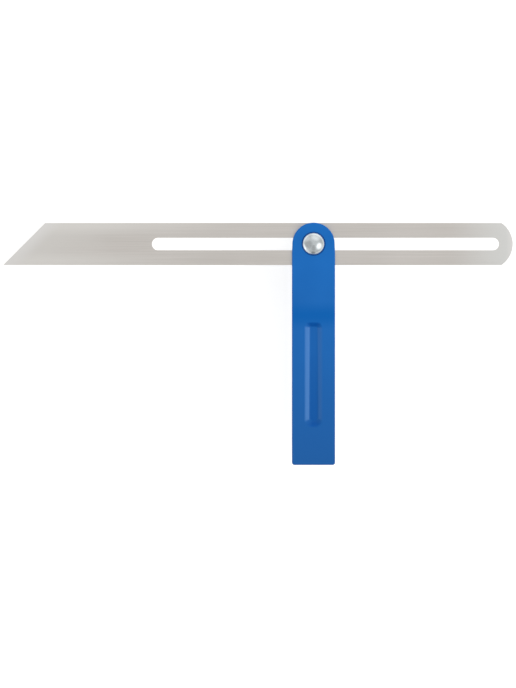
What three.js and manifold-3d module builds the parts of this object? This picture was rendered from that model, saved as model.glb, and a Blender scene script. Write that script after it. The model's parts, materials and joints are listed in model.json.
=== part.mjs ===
// Sliding bevel: a slotted steel blade held in a slotted handle by a square-necked bolt and a wing nut.
// Millimetres, +Z up. The tool lies face up, its blade along X and its handle along -Y.
// Every piece is drawn about the clamp bolt's axis, at the middle of the blade's thickness.
// The whole tool is then moved so that the origin is under the middle of its outline.
import * as THREE from "three";
import { mergeVertices } from "three/addons/utils/BufferGeometryUtils.js";
import Module from "manifold-3d";

// Blade
const bladeLength = 254; // point to the crown of the round end, the 10 inch size
const bladeWidth = 21;
const bladeThickness = 1;
const bladeEdgeBreak = 0.05;
const mitreAngle = Math.PI / 4;
const roundEndRadius = 12.7;
const slotLength = 172.8;
const slotEndWall = 6.95; // steel between the slot and the crown of the round end
const boltFromSlotEnd = 80.45; // bolt axis to the slot's end nearer the point, as set in use

// Clamp bolt
const boltDiameter = 6;
const boltSlideClearance = 0.1; // each side, in the blade's slot
const boltProud = 2; // thread past the wing nut
const boltTipChamfer = 0.7;
const headDiameter = 10.8;
const headHeight = 3;
const headRimHeight = 0.45;
const neckShortfall = 1.4; // the square neck stops this far inside the cheek
const neckCornerDiameter = 7.9; // the square neck's corners are rounded to this
const neckClearance = 0.1; // each side, in the handle

// Handle
const handleWidth = 21.35;
const handleDrop = 109.9; // bolt axis to the square end
const noseRadius = 10.5;
const noseBlendLength = 5; // below the bolt, where the sides widen from the nose
const cheekThickness = 5.1;
const handleEdgeRadius = 0.5;
const handleCornerRadius = 1.2;
const handleRootLength = 10; // solid end below the blade's gap
const headSeatDepth = 0.3;
const headSeatClearance = 0.45;
const backHoleClearance = 0.25;

// Finger grooves, one on each cheek
const grooveFromBolt = 38.85; // bolt axis to the groove's nearer end
const grooveLength = 52.6;
const grooveWidth = 9.4;
const grooveDepth = 1.5;
const grooveFloorWidth = 2.8;
const grooveNearRun = 2.5; // plan length of the steep end wall, towards the bolt
const grooveFarRun = 3.8; // plan length of the end wall that ramps up to the square end
const grooveNearRimRadius = 2.9; // corners of the rim towards the bolt
const grooveFarRimRadius = 4; // the rim's other end is nearly a half circle
const grooveNearFloorRadius = 0.5;
const grooveFarFloorRadius = 1.3;
const grooveRoundingShare = 0.3; // of a wall's run, rounded over at the rim and again at the floor

// Friction washers, one on each side of the blade
const frictionWasherDiameter = 13;
const frictionWasherThickness = 0.35;
const washerBoreClearance = 0.2; // all washers, each side, on the bolt
const seatGap = 0.025; // between faces that bear on each other

// Flat washer under the wing nut
const flatWasherDiameter = 12;
const flatWasherThickness = 1.6;
const flatWasherChamfer = 0.25;

// Wing nut
const threadClearance = 0.08; // each side, on the bolt
const hubFootDiameter = 11.6;
const hubTopDiameter = 9.6;
const hubHeight = 7.5;
const hubEdgeRadius = 0.6;
const hubFootLand = 1.2; // straight collar at the foot
const boreChamfer = 0.5; // lead into the thread at both ends of the nut
const wingSpan = 27;
const wingHeight = 13.5;
const wingTipRadius = 3.3;
const wingRootRadius = 3.1;
const wingRootRise = 3.9; // middle of the wing's root above the foot
const wingRootThickness = 3.2;
const wingTipThickness = 1.9;
const wingEdgeRadius = 0.7;
const wingAngle = Math.PI / 4; // how the wings stand from the blade, out of sight from the face

// Cutting and faceting
const overrun = 2; // how far a cutter passes the face that it cuts
const weldDistance = 0.0001;
const filletLimitShare = 0.45; // a fillet takes no more than this share of its wall
const roundSteps = 48; // facets of a full circle
const edgeSteps = 3; // facets of an edge radius
const grooveWallSteps = 10;
const domeSteps = 10;

// Places along Z that the pieces share, from the middle of the blade outwards
const washerInnerZ = bladeThickness / 2 + seatGap;
const cheekInnerZ = washerInnerZ + frictionWasherThickness + seatGap;
const cheekOuterZ = cheekInnerZ + cheekThickness;
const headSeatZ = cheekOuterZ - headSeatDepth;
const headFootZ = headSeatZ + seatGap;
const flatWasherTopZ = -cheekOuterZ - seatGap;
const nutFootZ = flatWasherTopZ - flatWasherThickness - seatGap;
const boltTipZ = nutFootZ - hubHeight - boltProud;
const lowestZ = nutFootZ - wingHeight;

// Places along X on the blade
const slotWidth = boltDiameter + 2 * boltSlideClearance;
const slotStartX = -boltFromSlotEnd;
const slotFinishX = slotStartX + slotLength;
const crownX = slotFinishX + slotEndWall;
const pointX = crownX - bladeLength;

const wasm = await Module();
wasm.setup();

// A closed geometry as a solid that can be cut and joined.
function toSolid(geometry) {
  const bare = geometry.clone();
  bare.deleteAttribute("normal");
  bare.deleteAttribute("uv");
  const merged = mergeVertices(bare, weldDistance);
  const mesh = new wasm.Mesh({
    numProp: 3,
    vertProperties: merged.attributes.position.array,
    triVerts: new Uint32Array(merged.index.array),
  });
  return new wasm.Manifold(mesh);
}

// The finished solid as a geometry.
function toGeometry(solid) {
  const mesh = solid.getMesh();
  const geometry = new THREE.BufferGeometry();
  geometry.setAttribute("position", new THREE.BufferAttribute(mesh.vertProperties, mesh.numProp));
  geometry.setIndex(new THREE.BufferAttribute(mesh.triVerts, 1));
  geometry.computeVertexNormals();
  return geometry;
}

// Points of an arc, both ends included.
function arc(centreX, centreY, radius, from, to, steps) {
  const points = [];
  for (let i = 0; i <= steps; i++) {
    const angle = from + ((to - from) * i) / steps;
    points.push(new THREE.Vector2(centreX + radius * Math.cos(angle), centreY + radius * Math.sin(angle)));
  }
  return points;
}

// A profile of radius and height turned about the Z axis.
function turned(profile) {
  return new THREE.LatheGeometry(profile, roundSteps).rotateX(Math.PI / 2);
}

// A round bar along Z between two heights.
function bar(radius, lowZ, highZ) {
  const profile = [
    new THREE.Vector2(0, lowZ),
    new THREE.Vector2(radius, lowZ),
    new THREE.Vector2(radius, highZ),
    new THREE.Vector2(0, highZ),
  ];
  return toSolid(turned(profile));
}

// A rectangular block given by its lowest and highest corners.
function block(lowX, lowY, lowZ, highX, highY, highZ) {
  const box = new THREE.BoxGeometry(highX - lowX, highY - lowY, highZ - lowZ);
  return toSolid(box.translate((lowX + highX) / 2, (lowY + highY) / 2, (lowZ + highZ) / 2));
}

// A flat shape thickened about Z = 0, its two rims eased by a bevel that takes nothing off its outline.
function plate(shape, thickness, edge, rimSteps) {
  const rim = Math.min(edge, thickness * filletLimitShare);
  const options = {
    depth: thickness - 2 * rim,
    bevelThickness: rim,
    bevelSize: rim,
    bevelOffset: -rim,
    bevelSegments: rimSteps,
  };
  return new THREE.ExtrudeGeometry(shape, options).translate(0, 0, rim - thickness / 2);
}

// A closed skin over rings of equally many points, one above the other, with flat ends.
function lofted(rings) {
  const count = rings[0].length;
  const positions = rings.flat().flatMap((point) => point.toArray());
  const faces = [];
  for (let level = 0; level + 1 < rings.length; level++) {
    for (let i = 0; i < count; i++) {
      const a = level * count + i;
      const b = level * count + ((i + 1) % count);
      faces.push(a, b, b + count, a, b + count, a + count);
    }
  }
  const top = (rings.length - 1) * count;
  for (let i = 1; i + 1 < count; i++) {
    faces.push(0, i + 1, i);
    faces.push(top, top + i, top + i + 1);
  }
  const geometry = new THREE.BufferGeometry();
  geometry.setAttribute("position", new THREE.Float32BufferAttribute(positions, 3));
  geometry.setIndex(faces);
  return geometry;
}

// The corner arcs of a rounded rectangle centred on X = 0, anticlockwise, each end with its own corners.
function roundedRectangle(width, lowY, lowRadius, highY, highRadius) {
  const low = Math.min(lowRadius, width * filletLimitShare);
  const high = Math.min(highRadius, width * filletLimitShare);
  const half = width / 2;
  const steps = roundSteps / 4;
  const quarter = Math.PI / 2;
  return [
    ...arc(half - low, lowY + low, low, -quarter, 0, steps),
    ...arc(half - high, highY - high, high, 0, quarter, steps),
    ...arc(high - half, highY - high, high, quarter, 2 * quarter, steps),
    ...arc(low - half, lowY + low, low, 2 * quarter, 3 * quarter, steps),
  ];
}

// A straight ramp from 0 to 1 whose two ends are rounded over the given share of its run.
function softRamp(t, share) {
  const slope = 1 / (1 - share);
  if (t < share) return (slope * t ** 2) / (2 * share);
  if (t > 1 - share) return 1 - (slope * (1 - t) ** 2) / (2 * share);
  return slope * (t - share / 2);
}

// Thins a plate that stands along X, from its full thickness on the axis to a share of it at the reach.
function tapered(geometry, reach, tipShare) {
  const position = geometry.attributes.position;
  for (let i = 0; i < position.count; i++) {
    const out = Math.max(position.getX(i), 0) / reach;
    position.setY(i, position.getY(i) * THREE.MathUtils.lerp(1, tipShare, out));
  }
  return geometry;
}

// Blade: a parallel strip, mitred at one end and round at the other, with the long slot.
function bladeGeometry() {
  const half = bladeWidth / 2;
  const shoulderX = pointX + bladeWidth / Math.tan(mitreAngle);
  const roundCentreX = crownX - roundEndRadius;
  const reach = Math.asin(half / roundEndRadius);
  const outline = new THREE.Shape([
    new THREE.Vector2(pointX, -half),
    ...arc(roundCentreX, 0, roundEndRadius, -reach, reach, roundSteps / 3),
    new THREE.Vector2(shoulderX, half),
  ]);
  const slotRadius = slotWidth / 2;
  const quarter = Math.PI / 2;
  const slot = new THREE.Path([
    ...arc(slotStartX + slotRadius, 0, slotRadius, quarter, 3 * quarter, roundSteps / 2),
    ...arc(slotFinishX - slotRadius, 0, slotRadius, -quarter, quarter, roundSteps / 2),
  ]);
  outline.holes.push(slot);
  return plate(outline, bladeThickness, bladeEdgeBreak, 1);
}

// The handle seen from its face: square end, parallel sides and a round nose about the bolt.
function handleOutline() {
  const half = handleWidth / 2;
  const cornerX = half - handleCornerRadius;
  const cornerY = handleCornerRadius - handleDrop;
  const quarter = Math.PI / 2;
  const blend = new THREE.CubicBezierCurve(
    new THREE.Vector2(half, -noseBlendLength),
    new THREE.Vector2(half, -noseBlendLength / 2),
    new THREE.Vector2(noseRadius, -noseBlendLength / 2),
    new THREE.Vector2(noseRadius, 0),
  );
  const rightBlend = blend.getPoints(edgeSteps + 1).slice(0, -1);
  const leftBlend = rightBlend.map((point) => new THREE.Vector2(-point.x, point.y)).reverse();
  return new THREE.Shape([
    ...arc(cornerX, cornerY, handleCornerRadius, -quarter, 0, edgeSteps),
    ...rightBlend,
    ...arc(0, 0, noseRadius, 0, Math.PI, roundSteps / 2),
    ...leftBlend,
    ...arc(-cornerX, cornerY, handleCornerRadius, 2 * quarter, 3 * quarter, edgeSteps),
  ]);
}

// A groove's cutter for the front cheek: sloping walls run from the rim down to a narrow floor.
function grooveCutter() {
  const nearY = -grooveFromBolt;
  const farY = nearY - grooveLength;
  const rings = [];
  for (let step = grooveWallSteps; step >= 0; step--) {
    const t = step / grooveWallSteps;
    const ring = roundedRectangle(
      THREE.MathUtils.lerp(grooveWidth, grooveFloorWidth, t),
      farY + grooveFarRun * t,
      THREE.MathUtils.lerp(grooveFarRimRadius, grooveFarFloorRadius, t),
      nearY - grooveNearRun * t,
      THREE.MathUtils.lerp(grooveNearRimRadius, grooveNearFloorRadius, t),
    );
    const z = cheekOuterZ - grooveDepth * softRamp(t, grooveRoundingShare);
    rings.push(ring.map((point) => new THREE.Vector3(point.x, point.y, z)));
  }
  const rim = rings[rings.length - 1];
  rings.push(rim.map((point) => new THREE.Vector3(point.x, point.y, cheekOuterZ + overrun)));
  return toSolid(lofted(rings));
}

// Handle: one casting with the blade's gap, the bolt's holes and a finger groove on each cheek.
function handleGeometry() {
  const body = toSolid(plate(handleOutline(), 2 * cheekOuterZ, handleEdgeRadius, edgeSteps));
  const sideX = handleWidth / 2 + overrun;
  const gapFloorY = handleRootLength - handleDrop;
  const gap = block(-sideX, gapFloorY, -cheekInnerZ, sideX, noseRadius + overrun, cheekInnerZ);
  const neckHalf = boltDiameter / 2 + neckClearance;
  const neckHole = block(-neckHalf, -neckHalf, 0, neckHalf, neckHalf, cheekOuterZ + overrun);
  const seat = bar(headDiameter / 2 + headSeatClearance, headSeatZ, cheekOuterZ + overrun);
  const backHole = bar(boltDiameter / 2 + backHoleClearance, -cheekOuterZ - overrun, 0);
  const groove = grooveCutter();
  const backGroove = groove.mirror([0, 0, 1]);
  const cutters = [gap, neckHole, seat, backHole, groove, backGroove];
  return toGeometry(cutters.reduce((solid, cutter) => solid.subtract(cutter), body));
}

// Clamp bolt: smooth domed head, square neck that the handle keeps from turning, and a round shank.
function boltGeometry() {
  const headRadius = headDiameter / 2;
  const domeHeight = headHeight - headRimHeight;
  const domeRadius = (headRadius ** 2 + domeHeight ** 2) / (2 * domeHeight);
  const rimZ = headFootZ + headRimHeight;
  const centreZ = rimZ + domeHeight - domeRadius;
  const rimAngle = Math.atan2(rimZ - centreZ, headRadius);
  const head = toSolid(
    turned([
      new THREE.Vector2(0, headFootZ),
      new THREE.Vector2(headRadius, headFootZ),
      ...arc(0, centreZ, domeRadius, rimAngle, Math.PI / 2, domeSteps),
    ]),
  );
  const neckHalf = boltDiameter / 2;
  const neckFootZ = cheekInnerZ + neckShortfall;
  const square = block(-neckHalf, -neckHalf, neckFootZ, neckHalf, neckHalf, rimZ);
  const neck = square.intersect(bar(neckCornerDiameter / 2, neckFootZ - overrun, rimZ + overrun));
  const shankRadius = boltDiameter / 2;
  const shank = toSolid(
    turned([
      new THREE.Vector2(0, boltTipZ),
      new THREE.Vector2(shankRadius - boltTipChamfer, boltTipZ),
      new THREE.Vector2(shankRadius, boltTipZ + boltTipChamfer),
      new THREE.Vector2(shankRadius, rimZ),
      new THREE.Vector2(0, rimZ),
    ]),
  );
  return toGeometry(head.add(neck).add(shank));
}

// A round washer lying on Z = 0, its four edges eased by a chamfer.
function washerGeometry(diameter, thickness, chamfer) {
  const inner = boltDiameter / 2 + washerBoreClearance;
  const outer = diameter / 2;
  return turned([
    new THREE.Vector2(inner + chamfer, 0),
    new THREE.Vector2(outer - chamfer, 0),
    new THREE.Vector2(outer, chamfer),
    new THREE.Vector2(outer, thickness - chamfer),
    new THREE.Vector2(outer - chamfer, thickness),
    new THREE.Vector2(inner + chamfer, thickness),
    new THREE.Vector2(inner, thickness - chamfer),
    new THREE.Vector2(inner, chamfer),
    new THREE.Vector2(inner + chamfer, 0),
  ]);
}

// One wing seen from its side: a tip circle and a smaller root circle joined by their tangents.
function wingOutline() {
  const tipX = wingSpan / 2 - wingTipRadius;
  const tipY = wingHeight - wingTipRadius;
  const spread = Math.hypot(tipX, tipY - wingRootRise);
  const lean = Math.atan2(tipY - wingRootRise, tipX);
  const open = Math.acos((wingRootRadius - wingTipRadius) / spread);
  const steps = roundSteps / 3;
  return new THREE.Shape([
    ...arc(tipX, tipY, wingTipRadius, lean - open, lean + open, steps),
    ...arc(0, wingRootRise, wingRootRadius, lean + open, lean - open + 2 * Math.PI, steps),
  ]);
}

// Wing nut, foot on Z = 0 and wings up: a tapered hub, two tapered wings and the bore with its lead-ins.
function wingNutGeometry() {
  const footRadius = hubFootDiameter / 2;
  const topRadius = hubTopDiameter / 2;
  const quarter = Math.PI / 2;
  const hub = toSolid(
    turned([
      new THREE.Vector2(0, 0),
      new THREE.Vector2(footRadius, 0),
      new THREE.Vector2(footRadius, hubFootLand),
      ...arc(topRadius - hubEdgeRadius, hubHeight - hubEdgeRadius, hubEdgeRadius, 0, quarter, edgeSteps),
      new THREE.Vector2(0, hubHeight),
    ]),
  );
  const wing = plate(wingOutline(), wingRootThickness, wingEdgeRadius, edgeSteps).rotateX(quarter);
  const right = toSolid(tapered(wing, wingSpan / 2, wingTipThickness / wingRootThickness));
  const left = right.mirror([1, 0, 0]);
  const boreRadius = boltDiameter / 2 + threadClearance;
  const flare = boreRadius + boreChamfer + overrun;
  const bore = toSolid(
    turned([
      new THREE.Vector2(0, -overrun),
      new THREE.Vector2(flare, -overrun),
      new THREE.Vector2(boreRadius, boreChamfer),
      new THREE.Vector2(boreRadius, hubHeight - boreChamfer),
      new THREE.Vector2(flare, hubHeight + overrun),
      new THREE.Vector2(0, hubHeight + overrun),
    ]),
  );
  return toGeometry(hub.add(right).add(left).subtract(bore));
}

// Finishes
const satinSteel = new THREE.MeshStandardMaterial({ color: 0xc4c0b9, roughness: 0.38, metalness: 1 });
const bluePaint = new THREE.MeshStandardMaterial({ color: 0x1e67ba, roughness: 0.42, metalness: 0 });
const brightPlate = new THREE.MeshStandardMaterial({ color: 0xd3d5d6, roughness: 0.18, metalness: 1 });
const zincPlate = new THREE.MeshStandardMaterial({ color: 0xb9bcc0, roughness: 0.34, metalness: 1 });
const plainSteel = new THREE.MeshStandardMaterial({ color: 0x9c9b98, roughness: 0.45, metalness: 1 });

// A named piece, drawn about the bolt's axis and moved to its height.
function piece(name, geometry, material, z) {
  const mesh = new THREE.Mesh(geometry, material);
  mesh.name = name;
  mesh.position.z = z;
  return mesh;
}

const frictionWasher = washerGeometry(frictionWasherDiameter, frictionWasherThickness, 0);
const flatWasher = washerGeometry(flatWasherDiameter, flatWasherThickness, flatWasherChamfer);

const wingNut = piece("wing_nut", wingNutGeometry(), zincPlate, nutFootZ);
wingNut.rotation.set(Math.PI, 0, wingAngle);

const tool = new THREE.Group();
tool.add(
  piece("handle", handleGeometry(), bluePaint, 0),
  piece("blade", bladeGeometry(), satinSteel, 0),
  piece("clamp_bolt", boltGeometry(), brightPlate, 0),
  piece("front_friction_washer", frictionWasher, plainSteel, washerInnerZ),
  piece("back_friction_washer", frictionWasher, plainSteel, -washerInnerZ - frictionWasherThickness),
  piece("flat_washer", flatWasher, zincPlate, flatWasherTopZ - flatWasherThickness),
  wingNut,
);

const highestY = Math.max(bladeWidth / 2, noseRadius);
tool.position.set(-(pointX + crownX) / 2, (handleDrop - highestY) / 2, -lowestZ);

export default tool;
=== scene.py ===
"""Sliding bevel: the finished look of each of its pieces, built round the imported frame.

The tool lies face up, with its blade along X, its handle along -Y and the bolt's head on top.
Sizes are real ones in millimetres, measured from the bolt's axis at the middle of the blade's
thickness. Meshes are made in metres, in the frame's own place.
"""

import sys

import json
import logging
import math
from dataclasses import dataclass
from enum import Enum

import bmesh
import bpy
from bpy.types import Material, Node, NodeSocket, NodeTree, Object
from mathutils import Matrix, Vector

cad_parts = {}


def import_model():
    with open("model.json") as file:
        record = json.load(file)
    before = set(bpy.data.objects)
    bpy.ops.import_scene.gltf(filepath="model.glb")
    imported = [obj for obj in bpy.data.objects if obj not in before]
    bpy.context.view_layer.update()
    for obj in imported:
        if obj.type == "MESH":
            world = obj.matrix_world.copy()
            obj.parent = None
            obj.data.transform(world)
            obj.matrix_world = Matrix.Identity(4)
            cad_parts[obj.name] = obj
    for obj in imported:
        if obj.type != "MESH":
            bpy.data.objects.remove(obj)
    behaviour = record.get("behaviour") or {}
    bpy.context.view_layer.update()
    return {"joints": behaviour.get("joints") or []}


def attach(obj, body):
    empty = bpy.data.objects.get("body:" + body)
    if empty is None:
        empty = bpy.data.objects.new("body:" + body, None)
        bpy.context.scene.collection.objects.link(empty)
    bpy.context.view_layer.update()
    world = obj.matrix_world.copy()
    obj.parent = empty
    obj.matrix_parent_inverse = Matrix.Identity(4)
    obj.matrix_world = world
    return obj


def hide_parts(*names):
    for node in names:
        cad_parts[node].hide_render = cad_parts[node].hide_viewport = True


PIVOT_JOINT = "blade_swing"
# A millimetre in metres, and a quarter turn in radians.
MM = 0.001
QUARTER = math.pi / 2
# Points that lie nearer together than this, in millimetres, are one.
SAME_PLACE = 0.002
# What the bevel and the normals call a round section, and large faces that rule the small ones.
ROUND_SECTION = 0.5
LARGE_FACES_RULE = 100
# The attribute that holds painted shade on the coat, and below zero a painted highlight.
PAINTED_LIGHT_ATTRIBUTE = "painted_shade_and_highlight"

log = logging.getLogger("sliding_bevel")

Point = tuple[float, float]
Place = tuple[float, float, float]
Ring = list[Place]


class Cheek(Enum):
    """The handle's two sides: its value is the direction of the cheek's outer face along Z."""

    FRONT = 1.0
    BACK = -1.0


class Softbox(Enum):
    """The studio lamps, by where they hang."""

    RIGHT = "right"
    LEFT = "left"


# Meshes


def arc(centre: Point, radius: float, start: float, end: float, steps: int) -> list[Point]:
    """Points of an arc, both ends included.

    Args:
        centre: The arc's centre.
        radius: Its radius.
        start: The first angle, in radians.
        end: The last angle, in radians.
        steps: How many chords the arc has.

    Returns:
        The points in order.
    """
    angles = [start + (end - start) * i / steps for i in range(steps + 1)]
    return [(centre[0] + radius * math.cos(a), centre[1] + radius * math.sin(a)) for a in angles]


def circle(radius: float, steps: int) -> list[Point]:
    """A full circle about the axis, without its first point again at the end."""
    return arc((0, 0), radius, 0, 4 * QUARTER, steps)[:-1]


def rectangle(half_width: float, low: float, high: float) -> list[Point]:
    """A rectangle about the Y axis, anticlockwise from its lower left corner."""
    return [(-half_width, low), (half_width, low), (half_width, high), (-half_width, high)]


def ease(t: float) -> float:
    """A share from 0 to 1 that starts and ends without a corner."""
    return t * t * (3 - 2 * t)


def ramp(t: float, rounding: float) -> float:
    """A straight ramp from 0 to 1 whose two ends are rounded.

    Args:
        t: How far along the ramp, from 0 to 1.
        rounding: The share of its run over which each end is rounded.

    Returns:
        The height there, from 0 to 1.
    """
    slope = 1 / (1 - rounding)
    if t < rounding:
        return slope * t**2 / (2 * rounding)
    if t > 1 - rounding:
        return 1 - slope * (1 - t) ** 2 / (2 * rounding)
    return slope * (t - rounding / 2)


def mix(low: float, high: float, share: float) -> float:
    """The value at a share of the way from low to high."""
    return low + (high - low) * share


def make_piece(name: str, vertices: list[Place], faces: list[list[int]]) -> Object:
    """A mesh object from points in millimetres, linked to the scene.

    Args:
        name: The piece's name.
        vertices: Its points, in millimetres.
        faces: Each face's point numbers.

    Returns:
        The new object, in metres.
    """
    mesh = bpy.data.meshes.new(name)
    mesh.from_pydata([(x * MM, y * MM, z * MM) for x, y, z in vertices], [], faces)
    made = bpy.data.objects.new(name, mesh)
    bpy.context.scene.collection.objects.link(made)
    return made


def skin(name: str, rings: list[Ring], capped: bool = True) -> Object:
    """A skin over rings of equally many points.

    Args:
        name: The piece's name.
        rings: The rings in order, anticlockwise seen from the last one.
        capped: True closes both ends, and False joins the last ring to the first.

    Returns:
        The closed piece.
    """
    count = len(rings[0])
    vertices = [point for ring in rings for point in ring]
    levels = len(rings) - 1 if capped else len(rings)
    faces = []
    for level in range(levels):
        low, high = level * count, (level + 1) % len(rings) * count
        for i in range(count):
            j = (i + 1) % count
            faces.append([low + i, low + j, high + j, high + i])
    if capped:
        top = (len(rings) - 1) * count
        faces.append([count - 1 - i for i in range(count)])
        faces.append([top + i for i in range(count)])
    return make_piece(name, vertices, faces)


def prism(name: str, outline: list[Point], low: float, high: float) -> Object:
    """An outline thickened along Z from low to high."""
    return skin(name, [[(x, y, z) for x, y in outline] for z in (low, high)])


def turned(name: str, profile: list[Point], steps: int) -> Object:
    """A closed profile of radius and height turned about the Z axis.

    Args:
        name: The piece's name.
        profile: Radius and height of each point, outside upwards. A closed loop clear of the
            axis gives a ring, and a profile that starts and ends on the axis a solid.
        steps: Facets of the full circle.

    Returns:
        The turned piece.
    """
    angles = [2 * math.pi * i / steps for i in range(steps)]
    solid = profile[0][0] == 0 and profile[-1][0] == 0
    inner = profile[1:-1] if solid else profile
    rings = [[(r * math.cos(a), r * math.sin(a), z) for a in angles] for r, z in inner]
    return skin(name, rings, capped=solid)


def remake(piece: Object) -> None:
    """Applies the piece's modifiers to its mesh.

    Args:
        piece: The piece that is changed.
    """
    graph = bpy.context.evaluated_depsgraph_get()
    mesh = bpy.data.meshes.new_from_object(piece.evaluated_get(graph))
    piece.modifiers.clear()
    piece.data = mesh


def combine(piece: Object, tool: Object, operation: str) -> None:
    """Cuts a tool solid out of a piece, or joins it on, and removes the tool.

    Args:
        piece: The piece that is changed.
        tool: The solid that cuts it or joins it.
        operation: DIFFERENCE or UNION.
    """
    step = piece.modifiers.new(operation, "BOOLEAN")
    step.object = tool
    step.operation = operation
    step.solver = "EXACT"
    remake(piece)
    bpy.data.objects.remove(tool)


def weld(piece: Object) -> None:
    """Joins the points that the cuts left in one place.

    Args:
        piece: The piece that is changed.
    """
    shape = bmesh.new()
    shape.from_mesh(piece.data)
    bmesh.ops.remove_doubles(shape, verts=shape.verts, dist=SAME_PLACE * MM)
    shape.to_mesh(piece.data)
    shape.free()


def ease_edges(piece: Object, radius: float, segments: int, least_angle: float) -> None:
    """Rounds the piece's sharp outside edges.

    Args:
        piece: The piece that is changed.
        radius: How wide the rounding is, in millimetres.
        segments: Facets across it.
        least_angle: The fold, in degrees, from which an edge counts as sharp.
    """
    weld(piece)
    shape = bmesh.new()
    shape.from_mesh(piece.data)
    limit = math.radians(least_angle)
    outside = [e for e in shape.edges if len(e.link_faces) == 2 and e.is_convex]
    sharp = [e for e in outside if e.calc_face_angle() > limit]
    bmesh.ops.bevel(
        shape,
        geom=sharp,
        offset=radius * MM,
        segments=segments,
        profile=ROUND_SECTION,
        affect="EDGES",
        clamp_overlap=True,
    )
    shape.to_mesh(piece.data)
    shape.free()


def shade(piece: Object, crease_angle: float) -> None:
    """Smooth shading that keeps the creases, and keeps flat faces flat.

    Args:
        piece: The piece that is shaded.
        crease_angle: The fold, in degrees, that stays a crease.
    """
    piece.data.shade_smooth()
    piece.data.set_sharp_from_angle(angle=math.radians(crease_angle))
    step = piece.modifiers.new("even_normals", "WEIGHTED_NORMAL")
    step.keep_sharp = True
    step.weight = LARGE_FACES_RULE


def settle(piece: Object, material: Material, place: Matrix, body: str, node: str, slot: str) -> Object:
    """Dresses a finished piece and puts it in the frame in place of its CAD node.

    Args:
        piece: The piece, drawn about the bolt's axis.
        material: What it is made of.
        place: Where that axis is in the frame.
        body: The moving body that carries the piece.
        node: The CAD node that it stands for.
        slot: The record's material slot. Not used.

    Returns:
        The piece.
    """
    piece.data.materials.append(material)
    piece.data.transform(place)
    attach(piece, body)
    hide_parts(node)
    return piece


# Finishes


def linear(code: str) -> tuple[float, float, float, float]:
    """Turns an sRGB colour to a linear one.

    Args:
        code: The colour in hex, such as #105eaa.

    Returns:
        Its linear red, green and blue, and an alpha of 1.
    """
    shares = [int(code[i : i + 2], 16) / 255 for i in (1, 3, 5)]
    red, green, blue = (s / 12.92 if s <= 0.04045 else ((s + 0.055) / 1.055) ** 2.4 for s in shares)
    return red, green, blue, 1.0


def add_node(
    tree: NodeTree,
    kind: str,
    settings: dict[str | int, object] | None = None,
    links: dict[str | int, NodeSocket] | None = None,
) -> Node:
    """Adds one node with its settings and incoming links.

    Args:
        tree: The node tree that gets it.
        kind: The node's type, such as ShaderNodeTexNoise.
        settings: Values of its properties, by name, and of its inputs, by name or number.
        links: The sockets that feed its inputs, by the input's name or number.

    Returns:
        The new node.
    """
    node = tree.nodes.new(kind)
    for key, value in (settings or {}).items():
        if isinstance(key, str) and hasattr(node, key):
            setattr(node, key, value)
        else:
            node.inputs[key].default_value = value
    for key, socket in (links or {}).items():
        tree.links.new(socket, node.inputs[key])
    return node


def start_material(name: str, pivot: Vector) -> tuple[Material, NodeTree, NodeSocket]:
    """An empty node material and its coordinates, in millimetres from the bolt's axis.

    Args:
        name: The material's name.
        pivot: The bolt's axis at the middle of the blade.

    Returns:
        The material, its node tree, and the socket with the coordinates.
    """
    material = bpy.data.materials.new(name)
    material.use_nodes = True
    tree = material.node_tree
    tree.nodes.clear()
    where = add_node(tree, "ShaderNodeTexCoord")
    scaled = add_node(
        tree,
        "ShaderNodeMapping",
        {"Scale": (1 / MM, 1 / MM, 1 / MM), "Location": -pivot / MM},
        {"Vector": where.outputs["Object"]},
    )
    return material, tree, scaled.outputs["Vector"]


def overlay(tree: NodeTree, ground: str, layers: list[tuple[str, NodeSocket]]) -> NodeSocket:
    """Lays colours over a ground colour, one after another.

    Args:
        tree: The material's node tree.
        ground: The ground's sRGB hex colour.
        layers: Each layer's sRGB hex colour, and the socket that says how much it covers.

    Returns:
        The socket with the finished colour.
    """
    under = {}
    for colour, cover in layers:
        mixed = add_node(
            tree,
            "ShaderNodeMix",
            {"data_type": "RGBA", 6: linear(ground), 7: linear(colour)},
            {0: cover, **under},
        )
        under = {6: mixed.outputs[2]}
    return under[6]


def end_material(
    tree: NodeTree,
    settings: dict[str | int, object],
    links: dict[str | int, NodeSocket],
    grain: NodeSocket,
    roughness: Point,
    relief: float,
) -> None:
    """Gives a material its shader, whose gloss and height follow a fine grain.

    Args:
        tree: The material's node tree.
        settings: The shader's fixed values.
        links: The sockets that feed it. A Normal among them is the coarser form under the grain.
        grain: The socket with the grain.
        roughness: The roughness where the grain is lowest and where it is highest.
        relief: The grain's height, in millimetres.
    """
    low, high = roughness
    rough = add_node(tree, "ShaderNodeMapRange", {"To Min": low, "To Max": high}, {"Value": grain})
    form = {name: socket for name, socket in links.items() if name == "Normal"}
    bump = add_node(
        tree, "ShaderNodeBump", {"Strength": 1.0, "Distance": relief * MM}, {"Height": grain, **form}
    )
    shader = add_node(
        tree,
        "ShaderNodeBsdfPrincipled",
        settings,
        {**links, "Roughness": rough.outputs["Result"], "Normal": bump.outputs["Normal"]},
    )
    add_node(tree, "ShaderNodeOutputMaterial", None, {"Surface": shader.outputs["BSDF"]})


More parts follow.
